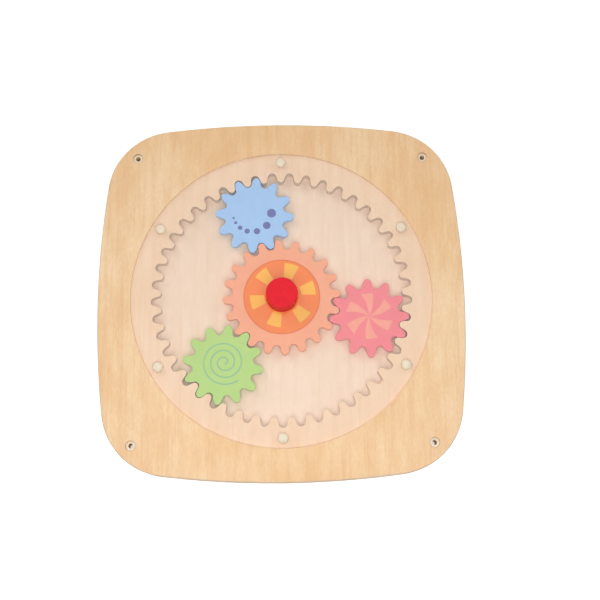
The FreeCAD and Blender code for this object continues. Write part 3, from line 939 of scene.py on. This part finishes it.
@dataclass
class Wheel:
    """A painted birch gear wheel and the ornament printed on its face."""

    colour: str
    body: str
    node: str
    slot: str
    ornament: Print
    paint: Finish
    inks: list[Finish]
    centre: Vector
    top_z: float = 14.4
    bottom_z: float = 8.6
    bore: float = 14.0          # rims and walls inside this radius belong to the bores
    rim: float = 0.5
    film: float = 0.025         # thickness of a film of ink
    film_gap: float = 0.2       # where the lowest film starts, in films above the face
    film_rise: float = 0.8      # how much higher the next one starts, so that it overlaps

    def build_wheel(self) -> Object:
        """Build the toothed wheel with softly rounded rims.

        Returns:
            The wheel.
        """
        wheel = Shape.of_node(self.node)
        wheel.rebuild_outer_wall(self.centre, self.bore)
        middle = self.centre / MM
        rims = [edge for z in (self.top_z, self.bottom_z)
                for edge in wheel.rims(z, lambda at: (at - middle).xy.length > self.bore)]
        wheel.ease(rims, self.rim, segments=3)
        return wheel.dress(f"{self.colour}_wheel", self.body, [self.paint], self.slot, [self.node])

    def print_film(self, name: str, ink: Finish, layer: int,
                   draw: Callable[[Shape], None]) -> Object:
        """Lay one film of ink on the wheel.

        Args:
            name: What the film shows.
            ink: Its finish.
            layer: How many films lie under it.
            draw: Draws the film's outline about the wheel's centre, at height 0.

        Returns:
            The film.
        """
        film = Shape()
        draw(film)
        film.thicken(self.film)
        height = self.top_z * MM + (self.film_gap + self.film_rise * layer) * self.film * MM
        bmesh.ops.translate(film.mesh, verts=film.mesh.verts,
                            vec=self.centre + Vector((0, 0, height)))
        return film.dress(f"{self.colour}_{name}", self.body, [ink], self.slot)

    def build(self) -> list[Object]:
        """Build the wheel and its ornament.

        Returns:
            The wheel and its films of ink.
        """
        draw = {Print.WEDGES: self.print_wedges, Print.DOTS: self.print_dots,
                Print.PINWHEEL: self.print_pinwheel, Print.SPIRAL: self.print_spiral}
        return [self.build_wheel()] + draw[self.ornament]()

    def print_wedges(self) -> list[Object]:
        """Print a disc with a darker rim and six wedges round the knob.

        Returns:
            The three films.
        """
        knob_radius, disc_radius, rim_width, steps = 16.0, 39.3, 1.0, 120
        middle, first, inner, length = (1.0, 1.75), 13.3, 18.9, 15.0
        spread = 26.0               # a wedge's width, in degrees

        def disc(film: Shape) -> None:
            """Draw the disc."""
            film.turn([(knob_radius, 0.0), (disc_radius, 0.0)], steps)

        def rim(film: Shape) -> None:
            """Draw the disc's rim."""
            film.turn([(disc_radius - rim_width, 0.0), (disc_radius, 0.0)], steps)

        def wedges(film: Shape) -> None:
            """Draw the wedges."""
            for angle in round_the_hub(first, count=6):
                film.patch(steps=12, across=2, place=lambda u, t: polar(
                    inner + length * t, angle + spread * (u - 0.5), middle))

        return [self.print_film("disc_print", self.inks[0], 0, disc),
                self.print_film("rim_print", self.inks[1], 1, rim),
                self.print_film("wedge_print", self.inks[2], 1, wedges)]

    def print_dots(self) -> list[Object]:
        """Print seven dots that grow round a circle.

        Returns:
            The film.
        """
        middle, radius = (-2.3, 1.9), 20.1
        diameters = {-165.5: 2.5, -149.3: 3.4, -129.2: 4.8, -105.5: 5.5, -76.2: 6.7, -41.7: 8.0,
                     0.0: 9.5}      # by angle, in degrees

        def dots(film: Shape) -> None:
            """Draw the dots."""
            for angle, diameter in diameters.items():
                film.disc(polar(radius, angle, middle), diameter / 2)

        return [self.print_film("dot_print", self.inks[0], 0, dots)]

    def print_pinwheel(self) -> list[Object]:
        """Print six curved blades that meet in a star.

        Returns:
            The film.
        """
        hub, first, inner, outer = (-0.1, 1.6), 95.1, 0.9, 24.3
        half_width = 14.6           # half a blade's width, in degrees
        sweep = 0.75                # how far a blade leans, in degrees a millimetre

        def blade(angle: float, u: float, t: float) -> Point:
            """Give a point of a blade, whose outer end is straight.

            Args:
                angle: The blade's angle at its outer end, in degrees.
                u: How far out the point is, from 0 to 1.
                t: How far across it is, from 0 to 1.

            Returns:
                The point, in millimetres.
            """
            radius = inner + (outer - inner) * u
            if u < FLAT:
                return polar(radius, angle - sweep * (outer - radius) + half_width * (2 * t - 1),
                             hub)
            ends = [polar(outer, angle + side * half_width, hub) for side in (-1, 1)]
            x, y = (a + (b - a) * t for a, b in zip(*ends))
            return x, y

        def blades(film: Shape) -> None:
            """Draw the blades."""
            for angle in round_the_hub(first, count=6):
                film.patch(steps=16, across=6, place=lambda u, t: blade(angle, u, t))

        return [self.print_film("pinwheel_print", self.inks[0], 0, blades)]

    def print_spiral(self) -> list[Object]:
        """Print one line that winds outwards.

        Returns:
            The film.
        """
        middle, line, start, end = (1.4, 2.6), 1.15, -90.0, 1028.0
        base = 3.2                  # the line's radius at 0 degrees
        growth = 0.0194             # how much it widens a degree

        def winding(u: float, t: float) -> Point:
            """Give a point of the line, along it and across."""
            angle = start + (end - start) * u
            return polar(base + growth * angle + line * (t - 0.5), angle, middle)

        def spiral(film: Shape) -> None:
            """Draw the line."""
            film.patch(steps=260, across=1, place=winding)

        return [self.print_film("spiral_print", self.inks[0], 0, spiral)]


def wheels() -> list[Wheel]:
    """List the sun wheel and the three planet wheels, each about its own axle or bush.

    Returns:
        The four wheels.
    """
    sun = Wheel("sun", "crank", "sun_gear", "orange_paint", Print.WEDGES, SUN_PAINT,
                [SUN_INK, SUN_RIM_INK, WEDGE_INK], Vector())
    planets = [("blue", Print.DOTS, BLUE_PAINT, DOT_INK),
               ("pink", Print.PINWHEEL, PINK_PAINT, PINWHEEL_INK),
               ("green", Print.SPIRAL, GREEN_PAINT, SPIRAL_INK)]
    return [sun] + [
        Wheel(colour, f"{colour}_planet", f"{colour}_gear", f"{colour}_paint", ornament, paint,
              [ink], node_centre(f"{colour}_bush")) for colour, ornament, paint, ink in planets]


@dataclass
class Crank:
    """The turned knob that drives the sun wheel."""

    foot_z: float = 14.4
    top_z: float = 33.5
    radius: float = 16.0
    spigot_radius: float = 10.0
    spigot_z: float = 8.6
    bore_radius: float = 6.1
    bore_top_z: float = 25.2
    top_round: float = 1.4

    def build(self) -> list[Object]:
        """Turn the knob and round its top rim.

        Returns:
            The knob.
        """
        knob = Shape()
        knob.turn([(0.0, self.top_z), (self.radius, self.top_z), (self.radius, self.foot_z),
                   (self.spigot_radius, self.foot_z), (self.spigot_radius, self.spigot_z),
                   (self.bore_radius, self.spigot_z), (self.bore_radius, self.bore_top_z),
                   (0.0, self.bore_top_z)], steps=96)
        knob.ease(knob.rims(self.top_z), self.top_round, segments=6)
        return [knob.dress("turned_knob", "crank", [RED_LACQUER], "red_lacquer", ["knob"])]


@dataclass
class HiddenParts:
    """Steel and plastic parts that nothing shows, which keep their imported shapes."""

    finishes: dict[str, Finish] = field(default_factory=lambda: {
        "cover_screws": ZINC, "cap_washers": CAP_CREAM, "axle_pin": ZINC, "planet_carrier": ZINC,
        "planet_pins": ZINC, "thrust_washer": NYLON, "crank_bush": NYLON, "carrier_bush": NYLON,
        "blue_bush": NYLON, "pink_bush": NYLON, "green_bush": NYLON})

    def dress(self) -> None:
        """Put each node's finish in its material slots."""
        for node, finish in self.finishes.items():
            for material_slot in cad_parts[node].material_slots:
                material_slot.material = finish.material()
            log.info("%s: packed shape, %s", node, finish.name)


# --- Studio ----------------------------------------------

@dataclass(frozen=True)
class Softbox:
    """A square soft lamp that faces the panel, with its place and side in metres."""

    name: str
    at: tuple[float, float, float]
    side: float
    power: float                # in watts

    def hang(self) -> None:
        """Hang the lamp. It only lights: it is never seen, mirrored or seen through the cover."""
        lamp: Light = bpy.data.lights.new(self.name, "AREA")
        lamp.size = self.side
        lamp.energy = self.power
        hung = put_in_scene(self.name, lamp)
        hung.location = self.at
        hung.rotation_euler = (-Vector(self.at)).to_track_quat("-Z", "Y").to_euler()
        hung.visible_camera = hung.visible_glossy = hung.visible_transmission = False


@dataclass
class Studio:
    """A pale paper floor, soft lamps, a white room and the camera, in metres and degrees."""

    ambient: float = 0.265
    paper_lift: float = 0.5
    floor_size: float = 4.0
    floor_gap: float = 0.3      # in millimetres
    eye: tuple[float, float, float] = (-0.000645296, -0.223874402, 0.967544153)
    gaze: tuple[float, float, float] = (13.0302135, -0.9832307, -0.7481628)
    sensor: float = 36.0        # in millimetres
    lens: float = 57.3165       # in millimetres
    lamps: tuple[Softbox, ...] = (
        Softbox("left_softbox", (-1.15, 1.05, 1.15), 1.2, 9.5),
        Softbox("right_softbox", (1.15, 1.0, 1.15), 1.2, 6.3),
        Softbox("overhead_softbox", (-0.01, -0.26, 0.66), 0.65, 3.25),
        Softbox("under_softbox", (0.0, 0.0, -1.5), 1.8, 12.0),
    )

    def lay_floor(self) -> None:
        """Lay the floor just under the panel."""
        floor = bmesh.new()
        bmesh.ops.create_grid(floor, x_segments=1, y_segments=1, size=self.floor_size / 2,
                              matrix=Matrix.Translation((0, 0, -self.floor_gap * MM)))
        data = bpy.data.meshes.new("paper_floor")
        floor.to_mesh(data)
        floor.free()
        paper = StudioPaper("studio_paper", "#FAFAFA", "#F6F6F5", self.paper_lift)
        data.materials.append(paper.material())
        piece = put_in_scene("paper_floor", data)

    def light_room(self) -> None:
        """Surround the object with soft white light, which looks plain white where it is seen."""
        world = bpy.data.worlds.new("studio_room")
        bpy.context.scene.world = world
        world.use_nodes = True
        tree = world.node_tree
        tree.nodes.clear()
        strength = add_node(tree, "ShaderNodeMapRange", inputs={
            "Value": seen_as_it_is(tree), "To Min": self.ambient, "To Max": 1.0})
        room = add_node(tree, "ShaderNodeBackground", inputs={
            "Color": linear(WHITE), "Strength": strength.outputs[0]})
        add_node(tree, "ShaderNodeOutputWorld", inputs={0: room.outputs[0]})

    def set_camera(self) -> None:
        """Place the camera."""
        camera = bpy.data.cameras.new("camera")
        camera.sensor_fit = "HORIZONTAL"
        camera.sensor_width = self.sensor
        camera.lens = self.lens
        placed = put_in_scene("camera", camera)
        placed.location = self.eye
        placed.rotation_euler = Euler([math.radians(a) for a in self.gaze], "XYZ")
        bpy.context.scene.camera = placed

    def build(self) -> None:
        """Set up the floor, the lamps, the room and the camera."""
        self.lay_floor()
        for lamp in self.lamps:
            lamp.hang()
        self.light_room()
        self.set_camera()
        bpy.context.scene.view_settings.view_transform = "Standard"


def corners(box: tuple[Vector, Vector]) -> list[list[float]]:
    """Turn a box's two corners into plain lists."""
    return [list(corner) for corner in box]


def main() -> None:
    """Build the studio and every sub-assembly."""
    logging.basicConfig(level=logging.INFO, format="%(name)s %(message)s")
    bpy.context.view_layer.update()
    Studio().build()
    pieces = Panel().build() + Cover().build() + Crank().build()
    for wheel in wheels():
        pieces += wheel.build()
    HiddenParts().dress()
    log.info("%d pieces", len(pieces))


if __name__ == "__main__":
    main()
